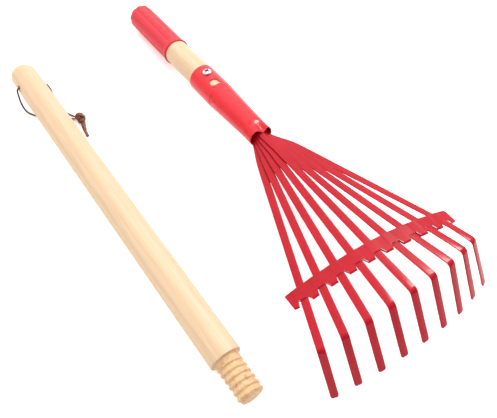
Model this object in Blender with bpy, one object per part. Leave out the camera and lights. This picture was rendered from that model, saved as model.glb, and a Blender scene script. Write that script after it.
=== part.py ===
"""A child's hand rake: nine sprung tines in a steel ferrule on a short wooden handle, whose threaded
sleeve takes a screw-on extension pole. The pole lies unscrewed beside the rake.

World axes: +X runs from the sleeve to the tine tips, +Z is up, and the floor is z = 0. The handle's
own axis has its origin at the ferrule's mouth, with +X forwards. The fan's plane has its origin there
too. The pole's axis has its origin at the shoulder of its thread, with +X towards the thread's end.
"""

from math import asin, atan, cos, floor, pi, radians, sin, tan

import bmesh
import bpy
from mathutils import Vector

MM = 0.001
GAP = 0.3 * MM

# Pole and its thread
POLE_RADIUS = 12.0 * MM
POLE_LENGTH = 322.2 * MM
POLE_END_RADIUS = 11.3 * MM
POLE_SHOULDER = Vector((126.0 * MM, -116.0 * MM))
POLE_YAW = radians(1.66)
THREAD_LENGTH = 30.6 * MM
THREAD_CREST = 9.4 * MM
THREAD_DEPTH = 1.0 * MM
THREAD_PITCH = 4.7 * MM
THREAD_NECK = 3.5 * MM
POLE_TILT = radians(0.42)
DOME_LENGTH = 9.0 * MM
HANG_HOLE_RADIUS = 2.5 * MM
HANG_HOLE_AT = 298.5 * MM
HANG_HOLE_TILT = radians(20)

# Lace
LACE_DIAMETER = 1.6 * MM

# The lace's route: millimetres back from the shoulder, out to the side away from the rake, and up
LACE_ROUTE = [
    (253.3, -17.5, 2.6), (255.8, -15.6, 1.2), (259.5, -12.6, 0.85), (264.0, -7.2, 0.85),
    (268.5, -0.9, 0.85), (273.0, 4.6, 0.85), (277.8, 8.9, 0.85), (282.6, 12.2, 0.85),
    (286.9, 14.0, 1.2), (290.6, 14.8, 3.6), (293.9, 14.6, 8.2), (296.6, 13.6, 14.0),
    (298.2, 12.6, 17.4), (298.5, 10.6, 18.0), (298.5, 6.0, 16.4), (298.5, 0.0, 14.2),
    (298.5, -6.0, 12.0), (298.5, -10.6, 10.3), (298.4, -12.6, 9.0), (297.2, -13.6, 6.2),
    (294.2, -13.8, 2.9), (290.0, -13.2, 1.0), (285.0, -12.2, 0.85), (278.5, -11.6, 0.85),
    (271.0, -12.3, 0.85), (263.5, -14.7, 0.85), (258.3, -17.2, 1.2), (255.0, -19.3, 2.6),
]
KNOT_ROUTE = [
    ((253.3, -19.0, 3.4), 1.4), ((252.7, -19.4, 3.4), 2.5), ((251.7, -20.0, 3.4), 3.2),
    ((250.5, -20.5, 3.4), 3.3), ((249.3, -20.4, 3.3), 3.0), ((248.2, -19.9, 3.0), 2.2),
    ((246.8, -19.0, 2.2), 1.1), ((245.0, -18.2, 1.4), 0.8), ((241.5, -17.4, 0.9), 0.8),
    ((237.0, -16.9, 0.85), 0.8), ((231.4, -16.6, 0.85), 0.8),
]
SHORT_TAIL_ROUTE = [
    ((249.6, -21.0, 3.0), 0.8), ((246.6, -21.4, 2.2), 0.8), ((243.8, -20.6, 1.2), 0.8),
    ((240.8, -19.2, 0.85), 0.8),
]

# Short handle and sleeve, measured along the handle from the ferrule's mouth
HANDLE_PITCH = radians(7.32)
HANDLE_YAW = radians(-0.28)
HANDLE_SIDE = -1.2 * MM
HANDLE_RADIUS = 11.0 * MM
SLEEVE_END = 204.8 * MM
SLEEVE_START = 134.0 * MM
SLEEVE_RADIUS = 11.6 * MM
FLUTE_COUNT = 10
FLUTE_DEPTH = 0.45 * MM
SLEEVE_RIM = 4.0 * MM
SOCKET_RADIUS = THREAD_CREST + GAP
TENON_END = 168.0 * MM

# Ferrule
FERRULE_LENGTH = 89.9 * MM
FERRULE_RADIUS = 12.0 * MM
SHEET = 0.7 * MM
SWAGE_AT = 57.0 * MM
SWAGE_STEP = 0.3 * MM
MOUTH_WIDTH = 10.2 * MM
MOUTH_DEPTH = 8.4 * MM
DENT_DEPTH = 4.9 * MM
DENT_LENGTH = 13.0 * MM
DENT_HALF_ANGLE = radians(42)
MOUTH_HEIGHT = 37.54 * MM
SEAM_WIDTH = 0.8 * MM
SCREW_AT = 78.8 * MM
SCREW_HEAD_RADIUS = 3.6 * MM
SCREW_HEAD_HEIGHT = 2.3 * MM
SCREW_SHANK_RADIUS = 1.8 * MM
SCREW_SHANK_LENGTH = 13.0 * MM
TEAR_AT = 65.2 * MM
TEAR_SIDE = -1.4 * MM
TEAR_RADIUS = 3.8 * MM
TEAR_POINT = 6.2 * MM
TEAR_TURN = radians(55)

# Fan of tines
TINES_EACH_SIDE = 4
TINE_WIDTH = 5.75 * MM
TANG_WIDTH = 4.0 * MM
TINE_THICKNESS = 0.9 * MM
TANG_LENGTH = 27.0 * MM
TANG_LEVEL = 1.25 * MM
TANG_SIDE = -1.1 * MM
FLARE_LENGTH = 22.0 * MM
WIDEN_LENGTH = 36.0 * MM
BEND_AT = 167.0 * MM
BEND_BACK = 0.32 * MM
BEND_RADIUS = 4.5 * MM
ARCH_DROP = 11.8 * MM
TIP_LENGTH = 44.5 * MM
TIP_ANGLE = 60.0
TIP_ROLL = radians(10.4)
SHORTER_BEFORE_BEND = {8: 1.2 * MM, 9: 2.4 * MM}
PULLED_IN_AT_BEND = {8: 0.9 * MM, 9: 2.2 * MM}
TIP_LEAN = {8: 0.05, 9: 0.13}
LONGER_TIP = {9: 0.45 * MM}
FAN_RISE = 40.0 * MM
FAN_PITCH = radians(3.95)
FAN_YAW = radians(0.44)

# Brace across the tines
BRACE_AT = 129.0 * MM
BRACE_REAR = 122.9 * MM
BRACE_CLEAR = 141.0 * MM
BRACE_SIDE = 2.2 * MM
BRACE_HALF_LENGTH = 67.8 * MM
BRACE_DEPTH = 12.2 * MM
BRACE_END_DEPTH = 10.6 * MM
BRACE_END = 8.0 * MM
BRACE_SKEW = radians(4.3)
NOTCH_DEPTH = 3.2 * MM
NOTCH_BOTTOM = 3.2 * MM
NOTCH_TOP = 4.6 * MM
NOTCH_SIDE = 0.58 * MM
NOTCH_SIDE_LEAST = 0.2 * MM

SEGMENTS = 40


# Helpers

def clear_scene():
    for old in list(bpy.data.objects):
        bpy.data.objects.remove(old, do_unlink=True)


def material(name, colour, roughness, metallic=0.0):
    made = bpy.data.materials.new(name)
    made.use_nodes = True
    shader = made.node_tree.nodes["Principled BSDF"]
    shader.inputs["Base Color"].default_value = (*colour, 1.0)
    shader.inputs["Roughness"].default_value = roughness
    shader.inputs["Metallic"].default_value = metallic
    return made


def empty(name, parent=None):
    made = bpy.data.objects.new(name, None)
    bpy.context.collection.objects.link(made)
    made.parent = parent
    return made


def solid(name, points, faces, finish, parent, smooth=True):
    """One closed mesh object, its faces turned out."""
    mesh = bpy.data.meshes.new(name)
    mesh.from_pydata([tuple(p) for p in points], [], faces)
    work = bmesh.new()
    work.from_mesh(mesh)
    bmesh.ops.recalc_face_normals(work, faces=work.faces)
    work.to_mesh(mesh)
    work.free()
    if smooth:
        mesh.shade_smooth()
        mesh.set_sharp_from_angle(angle=radians(35))
    if finish:
        mesh.materials.append(finish)
    made = bpy.data.objects.new(name, mesh)
    bpy.context.collection.objects.link(made)
    made.parent = parent
    return made


def band(first, second, count):
    """Quads between two rings of vertex numbers that start at first and second."""
    return [
        (first + j, first + (j + 1) % count, second + (j + 1) % count, second + j)
        for j in range(count)
    ]


def loft(name, rings, finish, parent, smooth=True):
    """A solid through closed rings of equal point counts, capped at both ends."""
    count = len(rings[0])
    points = [p for ring in rings for p in ring]
    faces = [tuple(range(count))]
    for i in range(len(rings) - 1):
        faces += band(i * count, (i + 1) * count, count)
    faces.append(tuple(range(len(points) - count, len(points))))
    return solid(name, points, faces, finish, parent, smooth)


def shell(name, outer, inner, finish, parent):
    """A wall between an outer and an inner set of rings, closed by a rim at each end."""
    count, rows = len(outer[0]), len(outer)
    points = [p for ring in outer + inner for p in ring]
    faces = []
    for side in (0, rows):
        for i in range(side, side + rows - 1):
            faces += band(i * count, (i + 1) * count, count)
    faces += band(0, rows * count, count)
    faces += band((rows - 1) * count, (2 * rows - 1) * count, count)
    return solid(name, points, faces, finish, parent)


def circle(x, radius, count=SEGMENTS):
    """A ring about the X axis, starting at the top."""
    turns = [2 * pi * j / count for j in range(count)]
    return [Vector((x, radius * sin(a), radius * cos(a))) for a in turns]


def cut(target, cutter, operation="DIFFERENCE"):
    """Takes the cutter's shape out of the target, or adds it."""
    cutter.hide_render = True
    cutter.display_type = "WIRE"
    made = target.modifiers.new("Cut " + cutter.name, "BOOLEAN")
    made.operation = operation
    made.object = cutter
    made.solver = "EXACT"


def upright(name, x, outline, bottom, top, parent):
    """A vertical prism on the handle's axis, its outline given as (forwards, sideways) from x."""
    rings = [[Vector((x + u, v, z)) for u, v in outline] for z in (bottom, top)]
    return loft(name, rings, None, parent, smooth=False)


def round_outline(radius, count=24):
    return [
        (radius * cos(2 * pi * j / count), radius * sin(2 * pi * j / count)) for j in range(count)
    ]


# Ferrule, handle, sleeve and screw. On the handle's axis x = -distance from the mouth.

def ferrule_radius(distance):
    if distance >= SWAGE_AT + 1.5 * MM:
        return FERRULE_RADIUS
    if distance >= SWAGE_AT:
        return FERRULE_RADIUS - SWAGE_STEP
    share = distance / SWAGE_AT
    narrow = (MOUTH_WIDTH + MOUTH_DEPTH) / 2
    return narrow + (FERRULE_RADIUS - SWAGE_STEP - narrow) * share


def ferrule_ring(distance, inset):
    """A round ring that turns oval towards the mouth, where its top is dented onto the tines."""
    radius = ferrule_radius(distance)
    mouth = max(0.0, 1 - distance / (2 * DENT_LENGTH)) ** 2
    press = max(0.0, 1 - distance / DENT_LENGTH)
    press = press * press * (3 - 2 * press)
    wide = radius + (MOUTH_WIDTH - radius) * mouth - inset
    deep = radius + (MOUTH_DEPTH - radius) * mouth - inset
    ring = []
    for j in range(SEGMENTS):
        angle = 2 * pi * j / SEGMENTS
        from_top = min(angle, 2 * pi - angle)
        dent = 0.0
        if from_top < DENT_HALF_ANGLE:
            dent = DENT_DEPTH * press * cos(pi / 2 * from_top / DENT_HALF_ANGLE) ** 2
        ring.append(Vector((-distance, wide * sin(angle), deep * cos(angle) - dent)))
    return ring


def ferrule(axis, finish):
    stations = [0, 2, 4.5, 7.5, 11, 16, 26, 40, 56.9, 58.5, 74, 89.9]
    stations = [value * MM for value in stations]
    outer = [ferrule_ring(s, 0.0) for s in stations]
    inner = [ferrule_ring(s, SHEET) for s in stations]
    made = shell("ferrule", outer, inner, finish, axis)
    half = SEAM_WIDTH / 2
    seam = [(-5 * MM, -half), (FERRULE_LENGTH + 5 * MM, -half)]
    seam += [(FERRULE_LENGTH + 5 * MM, half), (-5 * MM, half)]
    cut(made, upright("seam_cutter", -FERRULE_LENGTH, seam, -20 * MM, -5 * MM, axis))
    hole = round_outline(SCREW_SHANK_RADIUS + GAP)
    cut(made, upright("screw_hole_cutter", -SCREW_AT, hole, 5 * MM, 20 * MM, axis))
    cut(made, upright("teardrop_cutter", -TEAR_AT, teardrop(), 5 * MM, 20 * MM, axis))
    return made


def teardrop():
    """A circle drawn out to a point that looks forwards and to the right."""
    half = pi / 2 + asin(TEAR_RADIUS / TEAR_POINT) - 0.05
    arc = [half + (2 * pi - 2 * half) * j / 18 for j in range(19)]
    points = [(TEAR_RADIUS * cos(a), TEAR_RADIUS * sin(a)) for a in arc] + [(TEAR_POINT, 0.0)]
    c, s = cos(TEAR_TURN), sin(TEAR_TURN)
    return [(u * c - v * s, u * s + v * c + TEAR_SIDE) for u, v in points]


def short_handle(axis, finish):
    """A dowel shaved to a cone in the ferrule and cut down to a tenon in the sleeve."""
    cone_end = 34.0 * MM
    cone_radius = ferrule_radius(cone_end) - SHEET - GAP
    profile = [(cone_end, cone_radius - 1.0 * MM), (cone_end + 1.0 * MM, cone_radius)]
    profile += [(SWAGE_AT - 1.0 * MM, ferrule_radius(SWAGE_AT - 1.0 * MM) - SHEET - GAP)]
    profile += [(SWAGE_AT + 2.0 * MM, HANDLE_RADIUS), (SLEEVE_START + 1.6 * MM, HANDLE_RADIUS)]
    tenon = SOCKET_RADIUS - GAP
    profile += [(SLEEVE_START + 1.6 * MM, tenon), (TENON_END - 1.5 * MM, tenon)]
    profile += [(TENON_END, tenon - 1.5 * MM)]
    rings = [circle(-s, r) for s, r in profile]
    made = loft("short_handle", rings, finish, axis)
    pilot = round_outline(SCREW_SHANK_RADIUS + GAP)
    bottom = FERRULE_RADIUS - SCREW_SHANK_LENGTH - 1.0 * MM
    cut(made, upright("pilot_cutter", -SCREW_AT, pilot, bottom, 20 * MM, axis))
    return made


def sleeve_ring(distance, radius, depth):
    ring = []
    for j in range(6 * FLUTE_COUNT):
        angle = 2 * pi * j / (6 * FLUTE_COUNT)
        hollow = depth * (0.5 - 0.5 * cos(FLUTE_COUNT * angle))
        reach = radius - hollow
        ring.append(Vector((-distance, reach * sin(angle), reach * cos(angle))))
    return ring


def threaded_sleeve(axis, finish):
    """A fluted tube with a round rim over the handle and an open socket for the pole's thread."""
    rim = SLEEVE_START + SLEEVE_RIM
    wide = HANDLE_RADIUS + GAP
    count = 6 * FLUTE_COUNT
    outer = [
        (SLEEVE_START, SLEEVE_RADIUS + 0.15 * MM, 0.0),
        (SLEEVE_START + 1.0 * MM, SLEEVE_RADIUS + 0.4 * MM, 0.0),
        (rim - 1.5 * MM, SLEEVE_RADIUS + 0.4 * MM, 0.0),
        (rim, SLEEVE_RADIUS, 0.0),
        (rim + 4.0 * MM, SLEEVE_RADIUS, FLUTE_DEPTH),
        (SLEEVE_END - 3.0 * MM, SLEEVE_RADIUS, FLUTE_DEPTH),
        (SLEEVE_END - 0.5 * MM, SLEEVE_RADIUS, FLUTE_DEPTH),
        (SLEEVE_END, SLEEVE_RADIUS - 0.4 * MM, FLUTE_DEPTH),
    ]
    inner = [(SLEEVE_START, wide), (SLEEVE_START + 1.9 * MM, wide)]
    inner += [(SLEEVE_START + 1.95 * MM, SOCKET_RADIUS), (rim, SOCKET_RADIUS)]
    inner += [(rim + 4.0 * MM, SOCKET_RADIUS), (TENON_END, SOCKET_RADIUS)]
    inner += [(SLEEVE_END - 1.0 * MM, SOCKET_RADIUS), (SLEEVE_END, SOCKET_RADIUS + 0.2 * MM)]
    outside = [sleeve_ring(*row) for row in outer]
    inside = [circle(-s, r, count) for s, r in inner]
    return shell("threaded_sleeve", outside, inside, finish, axis)


def ferrule_screw(axis, finish):
    """A pan-head wood screw with a cross recess, driven down through the ferrule into the handle."""
    seat = FERRULE_RADIUS + 0.15 * MM
    head = SCREW_HEAD_RADIUS
    profile = [(seat - SCREW_SHANK_LENGTH, 0.2 * MM), (seat - SCREW_SHANK_LENGTH + 3 * MM, 1.5 * MM)]
    profile += [(seat, SCREW_SHANK_RADIUS), (seat, head - 0.1 * MM), (seat + 0.4 * MM, head)]
    profile += [(seat + 1.2 * MM, head - 0.3 * MM), (seat + 1.9 * MM, head - 1.2 * MM)]
    profile += [(seat + SCREW_HEAD_HEIGHT, 0.9 * MM)]
    rings = [
        [Vector((r * cos(a), r * sin(a), z)) for a in (2 * pi * j / 24 for j in range(24))]
        for z, r in profile
    ]
    made = loft("ferrule_screw", rings, finish, axis)
    made.location = (-SCREW_AT, 0, 0)
    top = seat + SCREW_HEAD_HEIGHT
    for number, turn in enumerate((0.6, 0.6 + pi / 2)):
        long, thin = 2.0 * MM, 0.4 * MM
        outline = [(-long, -thin), (long, -thin), (long, thin), (-long, thin)]
        outline = [(u * cos(turn) - v * sin(turn), u * sin(turn) + v * cos(turn)) for u, v in outline]
        slot = upright(f"recess_cutter_{number + 1}", 0, outline, top - 1.4 * MM, top + MM, made)
        cut(made, slot)
    return made


# Tines, in the fan's plane: u forwards, v sideways, w up

def blend(share):
    """A smooth step from 1 down to 0 as share goes from 0 to 1."""
    share = min(max(share, 0.0), 1.0)
    return 0.5 + 0.5 * cos(pi * share)


def tine_angle(k):
    """How far tine k, counted from the middle, splays from the fan's axis."""
    return radians(5.5 * k - 0.02 * k**3)


def tine_side(k, u):
    """How far sideways tine k has come at u. It leaves the mouth closer in, and flares to its line."""
    line = 2.15 * MM * k + u * tan(tine_angle(k))
    if k == 0:
        return 0.0
    tang = 0.9 * MM + 1.25 * MM * k
    return tang if u <= 0 else line + (tang - 2.15 * MM * k) * blend(u / FLARE_LENGTH)


def bend_at(k):
    return BEND_AT - BEND_BACK * k * k


def tine_level(k, u):
    """How far tine k lies below the middle one: stacked in the mouth, arched further out."""
    share = max(u, 0.0) / bend_at(k)
    stacked = TANG_LEVEL * k
    return -(stacked + (ARCH_DROP * k * k / TINES_EACH_SIDE**2 - stacked) * share)


def arch_numbers():
    """Slope and curve of the arch that the tines make where the brace crosses them."""
    near, far = (tine_side(k, BRACE_AT) for k in (1, TINES_EACH_SIDE))
    near_drop, far_drop = (-tine_level(k, BRACE_AT) for k in (1, TINES_EACH_SIDE))
    curve = (far_drop / far - near_drop / near) / (far - near)
    return near_drop / near - curve * near, curve


def arch_height(v):
    slope, curve = arch_numbers()
    return -(slope * abs(v) + curve * v * v)


def arch_tilt(v):
    slope, curve = arch_numbers()
    return 0.0 if v == 0 else atan(slope + 2 * curve * abs(v))


def arch_roll(k, u):
    """How far the strip of tine k is rolled at u: flat in the mouth, with the arch at the brace."""
    at_brace = arch_tilt(tine_side(k, BRACE_AT))
    if u <= BRACE_CLEAR:
        return at_brace * min(max(u, 0.0) / BRACE_AT, 1.0)
    share = min((u - BRACE_CLEAR) / (bend_at(k) - BRACE_CLEAR), 1.0)
    return at_brace + (TIP_ROLL * k / TINES_EACH_SIDE - at_brace) * share


def tine_path(number, k, side):
    """(point, width) pairs along the middle of a tine, from its tang to its tip."""
    stations = [-TANG_LENGTH, 0.0]
    stations += [FLARE_LENGTH * j / 5 for j in range(1, 6)]
    stations += [WIDEN_LENGTH, BRACE_AT, BRACE_CLEAR]
    path = []
    for u in stations:
        share = min(max(u, 0.0) / WIDEN_LENGTH, 1.0)
        width = TANG_WIDTH + (TINE_WIDTH - TANG_WIDTH) * share
        aside = side * tine_side(k, u) + TANG_SIDE * blend(u / FLARE_LENGTH)
        path.append((Vector((u, aside, tine_level(k, u))), width))
    reach = bend_at(k) - SHORTER_BEFORE_BEND.get(number, 0.0)
    aside = tine_side(k, reach) - PULLED_IN_AT_BEND.get(number, 0.0)
    corner = Vector((reach, side * aside, tine_level(k, reach)))
    before = (corner - path[-1][0]).normalized()
    dip = radians(TIP_ANGLE + 0.3 * k * k)
    after = Vector((cos(dip), side * TIP_LEAN.get(number, 0.0), -sin(dip))).normalized()
    turn = before.angle(after)
    setback = BEND_RADIUS * tan(turn / 2)
    start, steps = corner - before * setback, 7
    inward = (after - before * before.dot(after)).normalized()
    for j in range(steps + 1):
        a = turn * j / steps
        arc = before * (BEND_RADIUS * sin(a)) + inward * (BEND_RADIUS * (1 - cos(a)))
        path.append((start + arc, TINE_WIDTH))
    tip = corner + after * (TIP_LENGTH + LONGER_TIP.get(number, 0.0))
    path.append((tip - after * 1.4 * MM, TINE_WIDTH))
    path.append((tip - after * 0.4 * MM, TINE_WIDTH - 0.8 * MM))
    path.append((tip, TINE_WIDTH - 2.0 * MM))
    return path


def section(point, half, thick):
    """The four corners of a flat strip's section."""
    low, high = point - thick, point + thick
    return [low - half, low + half, high + half, high - half]


def tine(number, parent, finish):
    """Tine 1 is on the right of someone who holds the rake, tine 9 on the left."""
    k = abs(number - 1 - TINES_EACH_SIDE)
    side = -1 if number <= TINES_EACH_SIDE else 1
    path = tine_path(number, k, side)
    rings = []
    across = Vector((0.0, 1.0, 0.0))
    for i, (point, width) in enumerate(path):
        before = path[max(i - 1, 0)][0]
        after = path[min(i + 1, len(path) - 1)][0]
        along = (after - before).normalized()
        if along.z > -0.2:
            roll = arch_roll(k, point.x)
            across = Vector((0.0, cos(roll), -side * sin(roll)))
        across = (across - along * along.dot(across)).normalized()
        half, thick = across * width / 2, along.cross(across) * TINE_THICKNESS / 2
        rings.append(section(point, half, thick))
    return loft(f"tine_{number}", rings, finish, parent, smooth=False)


# Brace

def notch_middle(k):
    """Where the notch of the tine k places from the centre one is; it sits a little to the tine's left."""
    along_side = (1 if k > 0 else -1) * tine_side(abs(k), BRACE_AT + 8 * MM)
    return along_side + max(NOTCH_SIDE * (1 - k), NOTCH_SIDE_LEAST)


def brace_front(v):
    """Depth of the brace at v: full on the tabs, less in the notch at each tine and at the ends."""
    depth = BRACE_DEPTH
    to_end = BRACE_HALF_LENGTH - abs(v - BRACE_SIDE)
    if to_end < BRACE_END:
        depth -= (BRACE_DEPTH - BRACE_END_DEPTH) * (1 - to_end / BRACE_END)
    nearest = min(abs(v - notch_middle(k)) for k in range(-TINES_EACH_SIDE, TINES_EACH_SIDE + 1))
    slope = (NOTCH_TOP - nearest) / (NOTCH_TOP - NOTCH_BOTTOM)
    return depth - NOTCH_DEPTH * min(max(slope, 0.0), 1.0)


def spreader_brace(parent, finish):
    """A folded bar that arches with the tines, slotted so that each tine passes through it."""
    stations = [BRACE_SIDE - BRACE_HALF_LENGTH, BRACE_SIDE + BRACE_HALF_LENGTH]
    for k in range(-TINES_EACH_SIDE, TINES_EACH_SIDE + 1):
        middle = notch_middle(k)
        stations += [middle + o for o in (-NOTCH_TOP, -NOTCH_BOTTOM, NOTCH_BOTTOM, NOTCH_TOP)]
    half = TINE_THICKNESS / 2 + GAP + SHEET
    rings = []
    for v in sorted(stations):
        tilt = (1 if v > 0 else -1) * arch_tilt(v)
        up = Vector((0.0, sin(tilt), cos(tilt))) * half
        rear = BRACE_REAR + v * tan(BRACE_SKEW)
        front = rear + brace_front(v)
        low = Vector((0.0, v, arch_height(v)))
        u_rear, u_front = Vector((rear, 0, 0)), Vector((front, 0, 0))
        corners = [low + u_rear - up, low + u_rear + up]
        rings.append(corners + [low + u_front + up, low + u_front - up])
    made = loft("spreader_brace", rings, finish, parent, smooth=False)
    for number in range(1, 2 * TINES_EACH_SIDE + 2):
        cut(made, brace_slot(number, parent))
    return made


def brace_slot(number, parent):
    """The space that a tine needs through the brace, with clearance all round."""
    k = abs(number - 1 - TINES_EACH_SIDE)
    side = -1 if number <= TINES_EACH_SIDE else 1
    ends = [BRACE_AT - 25 * MM, BRACE_AT + 25 * MM]
    a, b = (Vector((u, side * tine_side(k, u), tine_level(k, u))) for u in ends)
    along = (b - a).normalized()
    roll = arch_tilt(tine_side(k, BRACE_AT))
    across = Vector((0.0, cos(roll), -side * sin(roll)))
    across = (across - along * along.dot(across)).normalized()
    half = across * (TINE_WIDTH / 2 + GAP)
    thick = along.cross(across) * (TINE_THICKNESS / 2 + GAP)
    rings = [section(point, half, thick) for point in (a, b)]
    return loft(f"slot_cutter_{number}", rings, None, parent, smooth=False)


# Pole, on its own axis: x is 0 at the shoulder, positive along the thread, negative along the pole

def thread_radius(x, angle):
    """The rounded thread that winds round the neck, fading in after the plain part."""
    phase = x / THREAD_PITCH - angle / (2 * pi)
    phase -= floor(phase)
    ridge = min(max((0.5 + 0.75 * cos(2 * pi * phase)), 0.0), 1.0)
    fade = min(max((x - THREAD_NECK) / (2.5 * MM), 0.0), 1.0)
    return THREAD_CREST - THREAD_DEPTH * (1 - ridge) * fade


def extension_pole(axis, finish):
    count = 32
    turns = [2 * pi * j / count for j in range(count)]
    rings = []
    for j in range(8):
        a = pi / 2 * j / 7
        x = DOME_LENGTH * (1 - cos(a)) - POLE_LENGTH
        rings.append(circle(x, POLE_END_RADIUS * max(sin(a), 0.08), count))
    rings.append(circle(-0.5 * MM, POLE_RADIUS, count))
    rings.append(circle(0.0, POLE_RADIUS - 0.4 * MM, count))
    rings.append(circle(0.6 * MM, THREAD_CREST + 0.5 * MM, count))
    rows = 42
    for i in range(rows + 1):
        x = 1.6 * MM + (THREAD_LENGTH - 2.8 * MM) * i / rows
        radii = [thread_radius(x, a) for a in turns]
        rings.append([Vector((x, r * sin(a), r * cos(a))) for a, r in zip(turns, radii)])
    rings.append(circle(THREAD_LENGTH, THREAD_CREST - THREAD_DEPTH - 1.4 * MM, count))
    made = loft("extension_pole", rings, finish, axis)
    bore = [circle(x, HANG_HOLE_RADIUS, 20) for x in (-20 * MM, 20 * MM)]
    drill = loft("hang_hole_cutter", bore, None, axis)
    drill.location = (-HANG_HOLE_AT, 0, 0)
    drill.rotation_euler = (0, HANG_HOLE_TILT, pi / 2)
    cut(made, drill)
    return made


def route_point(place):
    """A route point in the pole's own frame, whose floor is z = 0."""
    back, aside, height = place
    return Vector((-back, -aside, height)) * MM


def smooth_route(points, spacing):
    """Points at about the given spacing along a smooth curve through the route's points."""
    path = [2 * points[0] - points[1]] + points + [2 * points[-1] - points[-2]]
    fine = []
    for a, b, c, d in zip(path, path[1:], path[2:], path[3:]):
        for step in range(24):
            t = step / 24
            curve = 2 * b + (c - a) * t + (2 * a - 5 * b + 4 * c - d) * t * t
            fine.append(0.5 * (curve + (3 * b - a - 3 * c + d) * t**3))
    kept = [fine[0]]
    for point in fine[1:]:
        if (point - kept[-1]).length >= spacing and (point - points[-1]).length >= spacing / 2:
            kept.append(point)
    return kept + [points[-1]]


def hang_lace(parent, finish):
    curve = bpy.data.curves.new("hang_lace", "CURVE")
    curve.dimensions = "3D"
    curve.bevel_depth = LACE_DIAMETER / 2
    curve.bevel_resolution = 2
    curve.use_fill_caps = True
    kept = smooth_route([route_point(p) for p in LACE_ROUTE], 2.0 * LACE_DIAMETER)
    spline = curve.splines.new("POLY")
    spline.points.add(len(kept) - 1)
    for target, point in zip(spline.points, kept):
        target.co = (*point, 1.0)
    curve.materials.append(finish)
    made = bpy.data.objects.new("hang_lace", curve)
    bpy.context.collection.objects.link(made)
    made.parent = parent
    return made


def strand(name, route, parent, finish):
    """A round strand whose thickness changes along its route."""
    path = [(route_point(place), radius * MM) for place, radius in route]
    rings = []
    for i, (point, radius) in enumerate(path):
        before, after = path[max(i - 1, 0)][0], path[min(i + 1, len(path) - 1)][0]
        along = (after - before).normalized()
        across = Vector((0, 0, 1)).cross(along).normalized()
        up = along.cross(across)
        turns = [2 * pi * j / 14 for j in range(14)]
        rings.append([point + (across * cos(a) + up * sin(a)) * radius for a in turns])
    return loft(name, rings, finish, parent)


def lace_knot(parent, finish):
    """The knot and both of the lace's tails."""
    made = strand("lace_knot", KNOT_ROUTE, parent, finish)
    cut(made, strand("short_tail_shape", SHORT_TAIL_ROUTE, parent, finish), "UNION")
    return made


# Assembly

def centre_on_floor(root, pieces):
    """Moves everything so that the box round the pieces stands centred on the origin."""
    bpy.context.view_layer.update()
    corners = [p.matrix_world @ v.co for p in pieces for v in p.data.vertices]
    low = [min(c[i] for c in corners) for i in range(3)]
    high = [max(c[i] for c in corners) for i in range(3)]
    root.location = (-(low[0] + high[0]) / 2, -(low[1] + high[1]) / 2, -low[2])


def assemble():
    clear_scene()
    red_enamel = material("red_enamel", (0.78, 0.02, 0.03), 0.28)
    red_plastic = material("red_plastic", (0.80, 0.03, 0.04), 0.45)
    pale_wood = material("pale_wood", (0.83, 0.62, 0.38), 0.55)
    screw_steel = material("screw_steel", (0.75, 0.75, 0.77), 0.25, 1.0)
    leather = material("leather", (0.16, 0.06, 0.03), 0.7)

    layout = empty("layout")
    handle_axis = empty("handle_axis", layout)
    handle_axis.location = (0, HANDLE_SIDE, MOUTH_HEIGHT)
    handle_axis.rotation_euler = (0, -HANDLE_PITCH, HANDLE_YAW)
    fan_plane = empty("fan_plane", layout)
    fan_plane.location = (0, 0, FAN_RISE)
    fan_plane.rotation_euler = (0, -FAN_PITCH, FAN_YAW)
    pole_place = empty("pole_place", layout)
    pole_place.location = (*POLE_SHOULDER, 0)
    pole_place.rotation_euler = (0, 0, POLE_YAW)
    pole_axis = empty("pole_axis", pole_place)
    pole_axis.location = (0, 0, POLE_RADIUS)
    pole_axis.rotation_euler = (0, POLE_TILT, 0)

    tine_count = 2 * TINES_EACH_SIDE + 1
    pieces = [tine(number, fan_plane, red_enamel) for number in range(1, tine_count + 1)]
    pieces.append(spreader_brace(fan_plane, red_enamel))
    pieces.append(ferrule(handle_axis, red_enamel))
    pieces.append(ferrule_screw(handle_axis, screw_steel))
    pieces.append(short_handle(handle_axis, pale_wood))
    pieces.append(threaded_sleeve(handle_axis, red_plastic))
    pieces.append(extension_pole(pole_axis, pale_wood))
    hang_lace(pole_place, leather)
    lace_knot(pole_place, leather)
    centre_on_floor(layout, pieces)


assemble()
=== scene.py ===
"""Hand rake with its screw-on pole lying beside it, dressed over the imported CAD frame.

World axes as in the CAD: +X from the sleeve to the tine tips, +Z up, floor at z = 0, metres.
Each piece is built in its own frame: HANDLE and FAN start at the ferrule's mouth, POLE at the
shoulder of the thread, with +X forwards in each.
"""
from math import acos, atan, cos, pi, radians, sin, sqrt, tan

import bmesh
import bpy
from mathutils import Euler, Matrix, Vector, noise


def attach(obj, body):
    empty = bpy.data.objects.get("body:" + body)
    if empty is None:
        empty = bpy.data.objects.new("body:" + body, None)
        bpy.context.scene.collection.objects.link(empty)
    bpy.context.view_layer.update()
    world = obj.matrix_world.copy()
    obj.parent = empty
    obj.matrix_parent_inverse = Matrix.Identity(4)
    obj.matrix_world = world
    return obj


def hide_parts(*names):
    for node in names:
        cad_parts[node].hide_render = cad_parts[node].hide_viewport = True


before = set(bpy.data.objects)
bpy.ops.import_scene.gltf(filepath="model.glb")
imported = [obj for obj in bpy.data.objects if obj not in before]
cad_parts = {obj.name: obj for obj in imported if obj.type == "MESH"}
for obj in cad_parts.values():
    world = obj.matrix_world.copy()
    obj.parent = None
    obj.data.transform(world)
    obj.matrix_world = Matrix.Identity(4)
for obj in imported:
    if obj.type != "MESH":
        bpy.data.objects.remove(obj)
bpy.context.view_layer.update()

MM = 0.001
RAKE = "rake_head"
LOOSE = "loose_pole"


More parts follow.
